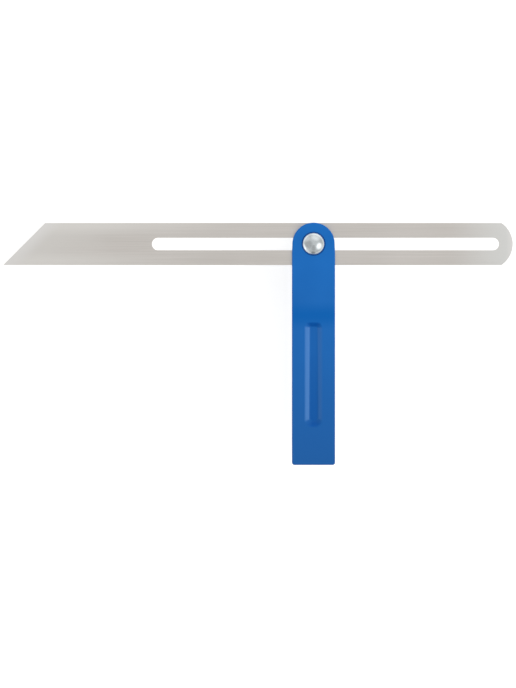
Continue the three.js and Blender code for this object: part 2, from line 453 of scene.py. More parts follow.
@dataclass(frozen=True)
class PowderCoat:
    """Blue polyester powder coat, sprayed and baked on the casting.

    It gives the eye a satin plastic skin: a soft highlight, broken by the fine orange peel of
    the melted powder and by slow waves where it lies thicker. The mesh's own attribute holds
    painted shade, which deepens the blue in the head's seat and over the grooves' floors and ends.
    Below zero it holds a painted highlight on the grooves' walls, the left one most, which pales the
    coat. Painted shade also darkens the coat towards the handle's foot, and in a band across the
    handle just above the groove.
    """

    name: str = "blue_powder_coat"
    colour: str = "#105eaa"
    wave_colour: str = "#1b6ab8"
    # Painted shade: the coat darker towards the handle's foot.
    foot_shade_colour: str = "#1a5697"
    # Painted shade: a deeper band across the handle just above the groove.
    shade_band_colour: str = "#0059a5"
    # Painted shade in the head's seat and over the grooves' floors and ends.
    painted_shade_colour: str = "#004f9b"
    # Painted highlight on the grooves' walls, the left one most.
    highlight_colour: str = "#5889c3"
    foot_shade_drop: float = 112.0
    shade_band_drop: float = 35.5
    shade_band_reach: float = 8.0
    shade_band_share: float = 0.95
    roughness: float = 0.34
    roughness_spread: float = 0.04
    ior: float = 1.5
    specular_level: float = 0.1
    peel_size: float = 1.1
    peel_height: float = 0.006
    wave_size: float = 16.0
    wave_height: float = 0.05

    def build(self, pivot: Vector) -> Material:
        """Makes the material.

        Args:
            pivot: The bolt's axis at the middle of the blade.

        Returns:
            The material.
        """
        material, tree, where = start_material(self.name, pivot)
        peel, wave = (
            add_node(tree, "ShaderNodeTexNoise", {"Scale": 1 / size, "Detail": detail}, {"Vector": where})
            for size, detail in ((self.peel_size, 2.0), (self.wave_size, 1.0))
        )
        along = add_node(tree, "ShaderNodeSeparateXYZ", None, {0: where}).outputs["Y"]
        # Painted shade, growing from the bolt towards the handle's foot.
        foot = add_node(
            tree, "ShaderNodeMapRange", {"From Min": 0.0, "From Max": -self.foot_shade_drop}, {"Value": along}
        )
        # A band of painted shade across the handle, just above the groove.
        from_band = add_node(tree, "ShaderNodeMath", {"operation": "ADD", 1: self.shade_band_drop}, {0: along})
        off_band = add_node(tree, "ShaderNodeMath", {"operation": "ABSOLUTE"}, {0: from_band.outputs[0]})
        shade_band = add_node(
            tree,
            "ShaderNodeMapRange",
            {
                "interpolation_type": "SMOOTHSTEP",
                "From Max": self.shade_band_reach,
                "To Min": self.shade_band_share,
                "To Max": 0.0,
            },
            {"Value": off_band.outputs[0]},
        )
        # The mesh's attribute: painted shade where it is above zero.
        painted_light = add_node(tree, "ShaderNodeAttribute", {"attribute_name": PAINTED_LIGHT_ATTRIBUTE}).outputs["Fac"]
        # The attribute's part below zero, turned positive: the painted highlight.
        highlit = add_node(tree, "ShaderNodeMapRange", {"From Max": -1.0}, {"Value": painted_light})
        # Over the coat's blue and its random waves lie painted shade, towards the foot, in a band above the
        # groove, in the seat and the grooves, and last the painted highlight on the grooves' walls.
        coat = overlay(
            tree,
            self.colour,
            [
                (self.wave_colour, wave.outputs["Fac"]),
                (self.foot_shade_colour, foot.outputs["Result"]),
                (self.shade_band_colour, shade_band.outputs["Result"]),
                (self.painted_shade_colour, painted_light),
                (self.highlight_colour, highlit.outputs["Result"]),
            ],
        )
        waves = add_node(
            tree,
            "ShaderNodeBump",
            {"Strength": 1.0, "Distance": self.wave_height * MM},
            {"Height": wave.outputs["Fac"]},
        )
        end_material(
            tree,
            {"IOR": self.ior, "Specular IOR Level": self.specular_level, "Metallic": 0.0},
            {"Base Color": coat, "Normal": waves.outputs["Normal"]},
            peel.outputs["Fac"],
            (self.roughness - self.roughness_spread, self.roughness + self.roughness_spread),
            self.peel_height,
        )
        return material


@dataclass(frozen=True)
class BrushedSteel:
    """Stainless strip, brushed along its length with an abrasive belt.

    It gives the eye a pale warm grey with long hair-fine lines, whose gloss spreads across them.
    A belt of 240 grit leaves lines 0.05 mm apart, which no pixel can hold, so they are drawn
    0.35 mm apart. Towards both cut ends, dressed by hand, the steel carries a painted reflection,
    cooler and lighter, most of all along the last few millimetres, and so do the long edges near the point.
    """

    name: str = "brushed_stainless_steel"
    light_colour: str = "#ddd8d3"
    dark_colour: str = "#cfcac4"
    # Painted reflection, cooler and lighter, towards both cut ends.
    end_reflection_colours: tuple[str, str] = ("#dfdcd7", "#e2e2df")
    end_reflection_widths: Point = (40.0, 36.0)
    # Painted reflection along the long edges near the point.
    edge_reflection_colour: str = "#e6e3de"
    edge_from: float = 3.0
    edge_full: float = 9.0
    edge_length: float = 80.0
    # Painted highlight on the last few millimetres of both cut ends.
    highlight_colour: str = "#eae8e5"
    highlight_widths: Point = (8.0, 4.0)
    roughness: float = 0.34
    roughness_spread: float = 0.05
    anisotropy: float = 0.85
    line_gap: float = 0.35
    line_length: float = 45.0
    line_depth: float = 0.0006
    cloud_size: float = 30.0
    cloud_weight: float = 0.35
    pattern_range: Point = (0.45, 0.95)

    def near_end(
        self, tree: NodeTree, where: NodeSocket, end: tuple[Vector, float], width: float
    ) -> NodeSocket:
        """How near a place is to a cut end, from 1 on the end to 0 beyond the band's width.

        Args:
            tree: The material's node tree.
            where: The place, in millimetres.
            end: The direction in from the end, and how far along that it lies.
            width: How wide the band is, in millimetres.

        Returns:
            The socket with the share.
        """
        inwards, start = end
        along = add_node(tree, "ShaderNodeVectorMath", {"operation": "DOT_PRODUCT", 1: inwards}, {0: where})
        share = add_node(
            tree,
            "ShaderNodeMapRange",
            {"interpolation_type": "SMOOTHSTEP", "From Min": start + width, "From Max": start},
            {"Value": along.outputs["Value"]},
        )
        return share.outputs["Result"]

    def edge_reflection(self, tree: NodeTree, where: NodeSocket, point: tuple[Vector, float]) -> NodeSocket:
        """How much painted reflection the two long edges get, most of all near the point.

        Args:
            tree: The material's node tree.
            where: The place, in millimetres.
            point: The direction in from the mitred end, and how far along that it lies.

        Returns:
            The socket with the share.
        """
        parts = add_node(tree, "ShaderNodeSeparateXYZ", None, {0: where})
        off_axis = add_node(tree, "ShaderNodeMath", {"operation": "ABSOLUTE"}, {0: parts.outputs["Y"]})
        near_edge = add_node(
            tree,
            "ShaderNodeMapRange",
            {"interpolation_type": "SMOOTHSTEP", "From Min": self.edge_from, "From Max": self.edge_full},
            {"Value": off_axis.outputs[0]},
        )
        near_point = self.near_end(tree, where, point, self.edge_length)
        both = add_node(
            tree,
            "ShaderNodeMath",
            {"operation": "MULTIPLY"},
            {0: near_edge.outputs["Result"], 1: near_point},
        )
        return both.outputs[0]

    def build(self, pivot: Vector, point: float, crown: float, half_width: float) -> Material:
        """Makes the material.

        Args:
            pivot: The bolt's axis at the middle of the blade.
            point: Where the blade's point is, along X.
            crown: Where the top of its round end is, along X.
            half_width: Half the blade's width.

        Returns:
            The material.
        """
        material, tree, where = start_material(self.name, pivot)
        stretched = add_node(
            tree,
            "ShaderNodeMapping",
            {"Scale": (1 / self.line_length, 1 / self.line_gap, 1 / self.line_gap)},
            {"Vector": where},
        )
        lines = add_node(
            tree,
            "ShaderNodeTexNoise",
            {"Scale": 1.0, "Detail": 4.0, "Roughness": 0.6},
            {"Vector": stretched.outputs["Vector"]},
        )
        cloud = add_node(
            tree, "ShaderNodeTexNoise", {"Scale": 1 / self.cloud_size, "Detail": 1.0}, {"Vector": where}
        )
        both = add_node(
            tree,
            "ShaderNodeMath",
            {"operation": "MULTIPLY_ADD", 1: self.cloud_weight},
            {0: cloud.outputs["Fac"], 2: lines.outputs["Fac"]},
        )
        share = add_node(
            tree,
            "ShaderNodeMapRange",
            {"From Min": self.pattern_range[0], "From Max": self.pattern_range[1]},
            {"Value": both.outputs["Value"]},
        )
        mitre = Vector((1, -1, 0)).normalized()
        ends = ((mitre, mitre.dot(Vector((point, -half_width, 0)))), (Vector((-1, 0, 0)), -crown))
        # Painted reflection towards both cut ends: broad and cooler, then narrow and strongest.
        end_reflection = [self.near_end(tree, where, *pair) for pair in zip(ends, self.end_reflection_widths)]
        highlit = [self.near_end(tree, where, *pair) for pair in zip(ends, self.highlight_widths)]
        # Over the brushed grain lie painted reflections: towards both cut ends, along the edges near the
        # point, and strongest on the last millimetres.
        steel = overlay(
            tree,
            self.dark_colour,
            [
                (self.light_colour, share.outputs["Result"]),
                *zip(self.end_reflection_colours, end_reflection),
                (self.edge_reflection_colour, self.edge_reflection(tree, where, ends[0])),
                *((self.highlight_colour, cover) for cover in highlit),
            ],
        )
        across = add_node(tree, "ShaderNodeCombineXYZ", {"Y": 1.0})
        spread = add_node(
            tree,
            "ShaderNodeVectorTransform",
            {"vector_type": "VECTOR", "convert_from": "OBJECT", "convert_to": "WORLD"},
            {"Vector": across.outputs["Vector"]},
        )
        end_material(
            tree,
            {"Metallic": 1.0, "Anisotropic": self.anisotropy},
            {"Base Color": steel, "Tangent": spread.outputs["Vector"]},
            lines.outputs["Fac"],
            (self.roughness - self.roughness_spread, self.roughness + self.roughness_spread),
            self.line_depth,
        )
        return material


@dataclass(frozen=True)
class PlatedMetal:
    """Steel with a thin plated skin of nickel or zinc, or none.

    Bright nickel gives the eye a smooth mirror, a little clouded. Barrel-plated zinc is duller,
    and spangled where the bath left its crystals and the parts rubbed together.
    """

    name: str
    light_colour: str
    dark_colour: str
    roughness: float
    spangle_size: float
    spangle_height: float
    roughness_share: float = 0.25

    def build(self, pivot: Vector) -> Material:
        """Makes the material.

        Args:
            pivot: The bolt's axis at the middle of the blade.

        Returns:
            The material.
        """
        material, tree, where = start_material(self.name, pivot)
        spangle = add_node(
            tree, "ShaderNodeTexNoise", {"Scale": 1 / self.spangle_size, "Detail": 3.0}, {"Vector": where}
        ).outputs["Fac"]
        end_material(
            tree,
            {"Metallic": 1.0},
            {"Base Color": overlay(tree, self.dark_colour, [(self.light_colour, spangle)])},
            spangle,
            (self.roughness * (1 - self.roughness_share), self.roughness * (1 + self.roughness_share)),
            self.spangle_height,
        )
        return material


# Bright nickel plate on a smooth bolt head: a cool mirror with hardly any grain.
BRIGHT_NICKEL = PlatedMetal("bright_nickel_plate", "#ccd2d4", "#bbc1c3", 0.17, 2.2, 0.002)
# Clear zinc plate on a forged nut: a cool grey with a soft spangle.
CLEAR_ZINC = PlatedMetal("clear_zinc_plate", "#c9ccd1", "#b2b6bc", 0.3, 0.9, 0.006)
# Bare cold-rolled steel of the friction washers: darker, and dull with oil.
ROLLED_STEEL = PlatedMetal("rolled_steel", "#a5a49f", "#8f8e8a", 0.42, 0.7, 0.003)


# Pieces


@dataclass
class HandleCasting:
    """The handle: a die casting with the blade's gap and a finger groove on each cheek."""

    width: float = 21.35
    drop: float = 109.9
    nose_radius: float = 10.5
    nose_blend: float = 5.0
    half_thickness: float = 6.0
    edge_radius: float = 0.5
    corner_radius: float = 1.2
    root_length: float = 10.0
    gap_half: float = 0.9
    neck_hole_half: float = 3.1
    back_hole_radius: float = 3.25
    seat_radius: float = 5.85
    seat_depth: float = 0.3
    groove_from_bolt: float = 38.85
    groove_length: float = 52.6
    groove_width: float = 9.4
    groove_floor_width: float = 2.8
    groove_near_run: float = 2.5
    groove_far_run: float = 3.8
    groove_depth: float = 1.5
    groove_near_corners: Point = (2.9, 0.5)
    groove_far_corners: Point = (4.0, 1.3)
    groove_rounding: float = 0.3
    # How much painted shade the grooves' floors and end walls get, and how much painted highlight their
    # side walls get.
    floor_shade: float = 0.62
    floor_shade_lead: float = 0.2
    floor_shade_power: int = 6
    end_wall_facing: float = 0.5
    wall_facing: float = 0.545
    # Painted highlight on the grooves' side walls, the left one more, growing with depth.
    wall_highlight: Point = (0.57, 0.22)
    highlight_by_depth: Point = (0.75, 1.15)
    seat_depth_share: float = 0.02
    groove_depth_shares: Point = (0.001, 1.01)
    eased_edge: float = 0.16
    eased_facets: int = 2
    sharp_fold: float = 50.0
    crease: float = 40.0
    corner_facets: int = 10
    blend_facets: int = 12
    nose_facets: int = 96
    rim_facets: int = 6
    groove_corner_facets: int = 16
    groove_wall_facets: int = 30
    seat_facets: int = 96
    back_hole_facets: int = 64
    overrun: float = 2.0

    def outline(self, inset: float) -> list[Point]:
        """The handle's outline, drawn in by an inset, anticlockwise from its right foot.

        Args:
            inset: How far inside the full outline, in millimetres.

        Returns:
            The outline's points.
        """
        half = self.width / 2 - inset
        nose = self.nose_radius - inset
        corner = self.corner_radius - inset
        foot = inset - self.drop + corner
        shares = [1 - i / self.blend_facets for i in range(self.blend_facets)]
        side = [(mix(nose, half, ease(t)), -self.nose_blend * t) for t in shares]
        return [
            *arc((half - corner, foot), corner, -QUARTER, 0, self.corner_facets),
            *side,
            *arc((0, 0), nose, 0, 2 * QUARTER, self.nose_facets),
            *[(-x, y) for x, y in reversed(side)],
            *arc((corner - half, foot), corner, 2 * QUARTER, 3 * QUARTER, self.corner_facets),
        ]

    def body(self) -> Object:
        """The outline thickened, with both rims rounded.

        Returns:
            The uncut casting.
        """
        rim = []
        for i in range(self.rim_facets + 1):
            turn = QUARTER * i / self.rim_facets
            inset = self.edge_radius * (1 - math.sin(turn))
            height = self.half_thickness - self.edge_radius * (1 - math.cos(turn))
            rim.append((inset, height))
        levels = [(inset, -height) for inset, height in rim] + list(reversed(rim))
        rings = [[(x, y, z) for x, y in self.outline(inset)] for inset, z in levels]
        return skin("handle_casting", rings)

    def groove_ring(self, share: float, height: float) -> Ring:
        """A level line of the groove.

        Args:
            share: How far down the wall it runs, from 0 at the rim to 1 at the floor.
            height: Its height.

        Returns:
            The line's points, anticlockwise seen from the face.
        """
        half = mix(self.groove_width, self.groove_floor_width, share) / 2
        low = mix(*self.groove_far_corners, share)
        high = mix(*self.groove_near_corners, share)
        near = -self.groove_from_bolt - self.groove_near_run * share
        far = -self.groove_from_bolt - self.groove_length + self.groove_far_run * share
        steps = self.groove_corner_facets
        line = [
            *arc((half - low, far + low), low, -QUARTER, 0, steps),
            *arc((half - high, near - high), high, 0, QUARTER, steps),
            *arc((high - half, near - high), high, QUARTER, 2 * QUARTER, steps),
            *arc((low - half, far + low), low, 2 * QUARTER, 3 * QUARTER, steps),
        ]
        return [(x, y, height) for x, y in line]

    def groove_cutter(self, cheek: Cheek) -> Object:
        """The solid that hollows a cheek's finger groove.

        Args:
            cheek: Which cheek it is for.

        Returns:
            The cutter, closed and standing proud of the face.
        """
        rings = []
        for i in range(self.groove_wall_facets, -1, -1):
            share = i / self.groove_wall_facets
            drop = self.groove_depth * ramp(share, self.groove_rounding)
            rings.append(self.groove_ring(share, self.half_thickness - drop))
        rings.append(self.groove_ring(0, self.half_thickness + self.overrun))
        if cheek is Cheek.BACK:
            rings = [[(x, y, -z) for x, y, z in ring] for ring in reversed(rings)]
        return skin("groove_cutter", rings)

    def mark_painted_light(self, piece: Object) -> None:
        """Writes the coat's painted shade and painted highlight on the mesh.

        Painted shade goes in the head's seat, on the grooves' floors and most of all at their ends. The
        grooves' side walls get a painted highlight, the left one more, and the more the deeper they go.

        Args:
            piece: The finished casting, which gets the attribute.
        """
        half = self.groove_width / 2
        near = -self.groove_from_bolt
        far = near - self.groove_length
        painted_light = piece.data.attributes.new(PAINTED_LIGHT_ATTRIBUTE, "FLOAT", "POINT")
        for vertex, share in zip(piece.data.vertices, painted_light.data):
            x, y, z = vertex.co / MM
            depth = (self.half_thickness - abs(z)) / self.groove_depth
            # Painted shade over the front seat round the bolt's head.
            in_seat = math.hypot(x, y) < self.seat_radius + self.eased_edge
            if in_seat and depth > self.seat_depth_share:
                share.value = float(z > 0)
            in_groove = abs(x) <= half and far < y < near
            if not in_groove or not self.groove_depth_shares[0] < depth < self.groove_depth_shares[1]:
                continue
            along = min(1.0, (near - y) / self.groove_length + self.floor_shade_lead)
            # Painted shade on the floor, more towards the far end and the deeper it lies, and on the end
            # walls by how much they face along the handle.
            shaded = self.floor_shade * ease(along) * depth**self.floor_shade_power
            facing = abs(vertex.normal.y) / self.end_wall_facing
            # Painted highlight on the side walls, the left one more, growing with depth; it pales the coat.
            highlit = self.wall_highlight[0 if x < 0 else 1] * min(1.0, abs(vertex.normal.x) / self.wall_facing)
            highlit *= mix(*self.highlight_by_depth, min(1.0, depth))
            share.value = min(1.0, max(shaded, facing) - highlit)

    def hole_cutters(self) -> list[Object]:
        """The solids that cut the blade's gap, the head's seat, the square neck's hole and the back hole.

        Returns:
            The four cutters. The seat comes before the hole in its floor.
        """
        gap = rectangle(
            self.width / 2 + self.overrun, self.root_length - self.drop, self.nose_radius + self.overrun
        )
        seat = circle(self.seat_radius, self.seat_facets)
        neck = rectangle(self.neck_hole_half, -self.neck_hole_half, self.neck_hole_half)
        back = circle(self.back_hole_radius, self.back_hole_facets)
        past = self.half_thickness + self.overrun
        return [
            prism("gap_cutter", gap, -self.gap_half, self.gap_half),
            prism("seat_cutter", seat, self.half_thickness - self.seat_depth, past),
            prism("neck_cutter", neck, 0, past),
            prism("back_cutter", back, -past, 0),
        ]

    def build(self, place: Matrix, finish: PowderCoat) -> list[Object]:
        """Makes the casting and dresses it.

        Args:
            place: Where the bolt's axis is.
            finish: The casting's coat.

        Returns:
            The casting alone.
        """
        piece = self.body()
        grooves = [self.groove_cutter(cheek) for cheek in Cheek]
        for cutter in (*grooves, *self.hole_cutters()):
            combine(piece, cutter, "DIFFERENCE")
        ease_edges(piece, self.eased_edge, self.eased_facets, self.sharp_fold)
        # Painted shade and painted highlight are written on the mesh for the coat.
        self.mark_painted_light(piece)
        shade(piece, self.crease)
        coat = finish.build(place.translation)
        return [settle(piece, coat, place, "handle", "handle", "blue_paint")]


@dataclass
class SlottedBlade:
    """The blade: a strip with a 45 degree point, a round end and a long slot."""

    length: float = 254.0
    width: float = 21.0
    thickness: float = 1.0
    edge_break: float = 0.05
    rollover_width: float = 4.0
    rollover_drop: float = 0.06
    round_end_radius: float = 12.7
    slot_start: float = -80.45
    slot_length: float = 172.8
    slot_width: float = 6.2
    slot_end_wall: float = 6.95
    sharp_fold: float = 60.0
    crease: float = 30.0
    rollover_facets: int = 5
    round_end_facets: int = 64
    slot_end_facets: int = 48
    overrun: float = 2.0

    @property
    def crown(self) -> float:
        """Where the top of the round end is, along X."""
        return self.slot_start + self.slot_length + self.slot_end_wall

    @property
    def point(self) -> float:
        """Where the point is, along X."""
        return self.crown - self.length

    def outline(self, inset: float) -> list[Point]:
        """The blade's outline, drawn in by an inset, anticlockwise from its point.

        Args:
            inset: How far inside the full outline, in millimetres.

        Returns:
            The outline's points.
        """
        drawn = self.width / 2 - inset
        radius = self.round_end_radius - inset
        reach = math.asin(drawn / radius)
        centre = self.crown - self.round_end_radius
        point = self.point + inset * (math.sqrt(2) + 1)
        shoulder = self.point + self.width + inset * (math.sqrt(2) - 1)
        return [
            (point, -drawn),
            *arc((centre, 0), radius, -reach, reach, self.round_end_facets),
            (shoulder, drawn),
        ]

    def slot_outline(self) -> list[Point]:
        """The slot's outline, with full round ends.

        Returns:
            The outline's points.
        """
        radius = self.slot_width / 2
        near = self.slot_start + radius
        far = self.slot_start + self.slot_length - radius
        return [
            *arc((near, 0), radius, QUARTER, 3 * QUARTER, self.slot_end_facets),
            *arc((far, 0), radius, -QUARTER, QUARTER, self.slot_end_facets),
        ]

    def body(self) -> Object:
        """The strip before its slot is cut, rolled over slightly towards its edges.

        Returns:
            The uncut blade.
        """
        half = self.thickness / 2
        face = []
        for i in range(self.rollover_facets + 1):
            share = 1 - i / self.rollover_facets
            inset = mix(self.edge_break, self.rollover_width, share)
            face.append((inset, half - self.rollover_drop * (1 - share) ** 2))
        face.append((0.0, face[-1][1] - self.edge_break))
        levels = [(inset, -z) for inset, z in face] + list(reversed(face))
        rings = [[(x, y, z) for x, y in self.outline(inset)] for inset, z in levels]
        return skin("slotted_blade", rings)

    def build(self, place: Matrix, finish: BrushedSteel) -> list[Object]:
        """Makes the blade and dresses it.

        Args:
            place: Where the bolt's axis is.
            finish: The blade's surface.

        Returns:
            The blade alone.
        """
        piece = self.body()
        combine(piece, prism("slot_cutter", self.slot_outline(), -self.overrun, self.overrun), "DIFFERENCE")
        ease_edges(piece, self.edge_break, 1, self.sharp_fold)
        shade(piece, self.crease)
        steel = finish.build(place.translation, self.point, self.crown, self.width / 2)
        return [settle(piece, steel, place, "blade", "blade", "satin_steel")]


@dataclass
class PivotClamp:
    """The clamp at the pivot: the bolt and the three washers on it."""

    bolt_radius: float = 3.0
    pitch: float = 1.0
    thread_depth: float = 0.61
    thread_flat: float = 0.125
    thread_top: float = -1.6
    tip: float = -17.15
    tip_chamfer: float = 0.7
    head_foot: float = 5.725
    head_radius: float = 5.4
    head_height: float = 3.0
    head_rim: float = 0.45
    head_edge: float = 0.15
    neck_foot: float = 2.3
    neck_corner: float = 1.3
    neck_overlap: float = 0.5
    washer_bore: float = 3.2
    washer_edge: float = 0.25
    washer_edge_share: float = 0.3
    friction_radius: float = 6.5
    friction_thickness: float = 0.35
    friction_inner: float = 0.525
    flat_radius: float = 6.0
    flat_thickness: float = 1.6
    flat_top: float = -6.025
    crease: float = 35.0
    head_facets: int = 128
    dome_facets: int = 40
    neck_corner_facets: int = 8
    shank_facets: int = 48
    facets_per_pitch: int = 16
    washer_facets: int = 96
    washer_edge_facets: int = 4

    def head(self) -> Object:
        """The domed head, with its rim rounded over.

        Returns:
            The head.
        """
        rise = self.head_height - self.head_rim
        radius = (self.head_radius**2 + rise**2) / (2 * rise)
        rim = self.head_foot + self.head_rim
        centre = rim + rise - radius
        start = math.atan2(rim - centre, self.head_radius)
        profile = [
            (0, self.head_foot),
            (self.head_radius - self.head_edge, self.head_foot),
            (self.head_radius, self.head_foot + self.head_edge),
            *arc((0, centre), radius, start, QUARTER, self.dome_facets)[:-1],
            (0, self.head_foot + self.head_height),
        ]
        return turned("clamp_bolt_with_thread", profile, self.head_facets)

    def neck(self) -> Object:
        """The square neck, its corners rounded as the header leaves them.

        Returns:
            The neck.
        """
        x = self.bolt_radius - self.neck_corner
        outline = []
        for i, corner in enumerate(((x, -x), (x, x), (-x, x), (-x, -x))):
            start = (i - 1) * QUARTER
            outline += arc(corner, self.neck_corner, start, start + QUARTER, self.neck_corner_facets)
        return prism("neck", outline, self.neck_foot, self.head_foot + self.head_rim)

    def thread_radius(self, height: float, turn: float) -> float:
        """The radius of the rolled thread at a height and a share of a turn.

        Args:
            height: Height along the bolt.
            turn: Share of a full turn, anticlockwise seen from the head.

        Returns:
            The radius, in millimetres.
        """
        across = abs((height / self.pitch - turn) % 1 - 0.5) * 2
        flank = min(1.0, max(0.0, (across - self.thread_flat) / (1 - 2 * self.thread_flat)))
        fade = min(1.0, max(0.0, (self.thread_top - height) / self.pitch))
        radius = self.bolt_radius - self.thread_depth * (1 - flank) * fade
        return min(radius, self.bolt_radius - self.tip_chamfer + (height - self.tip))

    def shank(self) -> Object:
        """The round shank with its helical thread, a right-hand one.

        Returns:
            The shank, which reaches a little into the neck.
        """
        length = self.neck_foot + self.neck_overlap - self.tip
        count = round(length / self.pitch * self.facets_per_pitch)
        rings = []
        for level in range(count + 1):
            height = self.tip + level * self.pitch / self.facets_per_pitch
            ring = []
            for i in range(self.shank_facets):
                angle = 2 * math.pi * i / self.shank_facets
                radius = self.thread_radius(height, i / self.shank_facets)
                ring.append((radius * math.cos(angle), radius * math.sin(angle), height))
            rings.append(ring)
        return skin("shank", rings)

    def washer(self, name: str, radius: float, low: float, thickness: float) -> Object:
        """A washer with its stamped edges rounded over.

        Args:
            name: The washer's name.
            radius: Its outside radius.
            low: The height of its lower face.
            thickness: How thick it is.

        Returns:
            The washer.
        """
        soft = min(self.washer_edge, thickness * self.washer_edge_share)
        near, far = self.washer_bore + soft, radius - soft
        foot, top = low + soft, low + thickness - soft
        profile = []
        for i, corner in enumerate(((near, foot), (far, foot), (far, top), (near, top))):
            start = (i - 2) * QUARTER
            profile += arc(corner, soft, start, start + QUARTER, self.washer_edge_facets)
        return turned(name, profile, self.washer_facets)

    def build(self, place: Matrix, nickel: Material, zinc: Material, rolled: Material) -> list[Object]:
        """Makes the bolt and the washers and dresses them.

        Args:
            place: Where the bolt's axis is.
            nickel: The bolt's plate.
            zinc: The flat washer's plate.
            rolled: The friction washers' bare steel.

        Returns:
            The bolt, the two friction washers and the flat washer.
        """
        bolt = self.head()
        for part in (self.neck(), self.shank()):
            combine(bolt, part, "UNION")
        thin, inner = self.friction_thickness, self.friction_inner
        front = self.washer("front_thrust_washer", self.friction_radius, inner, thin)
        back = self.washer("back_thrust_washer", self.friction_radius, -inner - thin, thin)
        low = self.flat_top - self.flat_thickness
        flat = self.washer("plated_washer", self.flat_radius, low, self.flat_thickness)
        dressed = (
            (bolt, nickel, "handle", "clamp_bolt", "bright_plate"),
            (front, rolled, "pivot_washers", "front_friction_washer", "plain_steel"),
            (back, rolled, "pivot_washers", "back_friction_washer", "plain_steel"),
            (flat, zinc, "nut_washer", "flat_washer", "zinc_plate"),
        )
        pieces = []
        for piece, material, *where in dressed:
            shade(piece, self.crease)
            pieces.append(settle(piece, material, place, *where))
        return pieces


@dataclass
class WingNut:
    """The wing nut: a forged hub with two round wings, drawn foot down with its wings along X."""

    foot: float = -7.65
    hub_foot_radius: float = 5.8
    hub_top_radius: float = 4.8
    hub_height: float = 7.5
    hub_collar: float = 1.2
    hub_edge: float = 0.6
    span: float = 27.0
    height: float = 13.5
    tip_radius: float = 3.3
    root_radius: float = 3.1
    root_rise: float = 3.9
    wing_root_thickness: float = 3.2
    wing_tip_thickness: float = 1.9
    wing_edge_share: float = 0.6
    bore_radius: float = 3.08
    bore_chamfer: float = 0.5
    turned_to: float = math.pi / 4
    grain: float = 0.2
    smoothing: int = 10
    smoothing_share: float = 0.5
    crease: float = 45.0
    hub_facets: int = 96
    hub_edge_facets: int = 6
    wing_end_facets: int = 32
    wing_edge_facets: int = 6
    overrun: float = 1.5

    def hub(self) -> Object:
        """The tapered hub, left long at the foot so that the foot can be trimmed flat.

        Returns:
            The hub.
        """
        edge = self.hub_edge
        profile = [
            (0, -self.overrun),
            (self.hub_foot_radius, -self.overrun),
            (self.hub_foot_radius, self.hub_collar),
            *arc(
                (self.hub_top_radius - edge, self.hub_height - edge), edge, 0, QUARTER, self.hub_edge_facets
            ),
            (0, self.hub_height),
        ]
        return turned("forged_wing_nut", profile, self.hub_facets)

    def wing(self, side: float) -> Object:
        """One wing, a plate with a round tip that runs down into the hub.

        Args:
            side: 1 for the wing along +X and -1 for the other.

        Returns:
            The wing.
        """
        tip = (self.span / 2 - self.tip_radius, self.height - self.tip_radius)
        root = (0, self.root_rise)
        lean = math.atan2(tip[1] - root[1], tip[0])
        spread = math.hypot(tip[0], tip[1] - root[1])
        opening = math.acos((self.root_radius - self.tip_radius) / spread)
        low, high = lean - opening, lean + opening
        half = self.wing_root_thickness / 2
        tip_share = self.wing_tip_thickness / self.wing_root_thickness
        turns = [QUARTER * i / self.wing_edge_facets for i in range(2 * self.wing_edge_facets + 1)]
        steps = self.wing_end_facets
        rings = []
        for turn in turns:
            inset, y = self.wing_edge_share * half * (1 - math.sin(turn)), half * math.cos(turn)
            line = [
                *arc(tip, self.tip_radius - inset, low, high, steps),
                *arc(root, self.root_radius - inset, high, low + 4 * QUARTER, steps),
            ]
            thins = [mix(1, tip_share, max(x, 0) / (self.span / 2)) for x, _ in line]
            rings.append([(side * x, side * y * thin, z) for (x, z), thin in zip(line, thins)])
        return skin("wing", rings)

    def forging(self) -> Object:
        """The hub and the wings in one, with soft fillets where they meet.

        Returns:
            The nut before its foot is faced and its bore drilled.
        """
        piece = self.hub()
        for side in (1.0, -1.0):
            combine(piece, self.wing(side), "UNION")
        grid = piece.modifiers.new("even_mesh", "REMESH")
        grid.mode = "VOXEL"
        grid.voxel_size = self.grain * MM
        blend = piece.modifiers.new("forged_fillets", "SMOOTH")
        blend.factor = self.smoothing_share
        blend.iterations = self.smoothing
        remake(piece)
        return piece

    def bore_cutter(self) -> Object:
        """The solid that bores the nut, with a lead-in at each end, and passes between its wings.

        Returns:
            The cutter.
        """
        bore, lip = self.bore_radius, self.bore_chamfer
        profile = [
            (0, -self.overrun),
            (bore + lip + self.overrun, -self.overrun),
            (bore, lip),
            (bore, self.hub_height - lip),
            (bore + lip, self.hub_height),
            (bore + lip, self.height + self.overrun),
            (0, self.height + self.overrun),
        ]
        return turned("bore_cutter", profile, self.hub_facets)

    def build(self, place: Matrix, zinc: Material) -> list[Object]:
        """Makes the nut and dresses it.

        Args:
            place: Where the bolt's axis is.
            zinc: The nut's plate.

        Returns:
            The nut alone.
        """
        piece = self.forging()
        wide = self.hub_foot_radius * 2
        below = prism("foot_trim", rectangle(wide, -wide, wide), -2 * self.overrun, 0)
        combine(piece, below, "DIFFERENCE")
        combine(piece, self.bore_cutter(), "DIFFERENCE")
        weld(piece)
        shade(piece, self.crease)
        upright = Matrix.Translation((0, 0, self.foot * MM)) @ Matrix.Rotation(math.pi, 4, "X")
        turned_nut = upright @ Matrix.Rotation(self.turned_to, 4, "Z")
        return [settle(piece, zinc, place @ turned_nut, "wing_nut", "wing_nut", "zinc_plate")]


# Studio


@dataclass(frozen=True)
class TentPatch:
    """A round patch of the light tent that is brighter or darker than its walls."""

    name: str
    bearing: float
    height: float
    core: float
    reach: float
    share: float

    def aim(self) -> tuple[float, float, float]:
        """The direction of the patch's middle. Its bearing runs from +X towards +Y."""
        level, rise = math.radians(self.bearing), math.radians(self.height)
        return math.cos(level) * math.cos(rise), math.sin(level) * math.cos(rise), math.sin(rise)


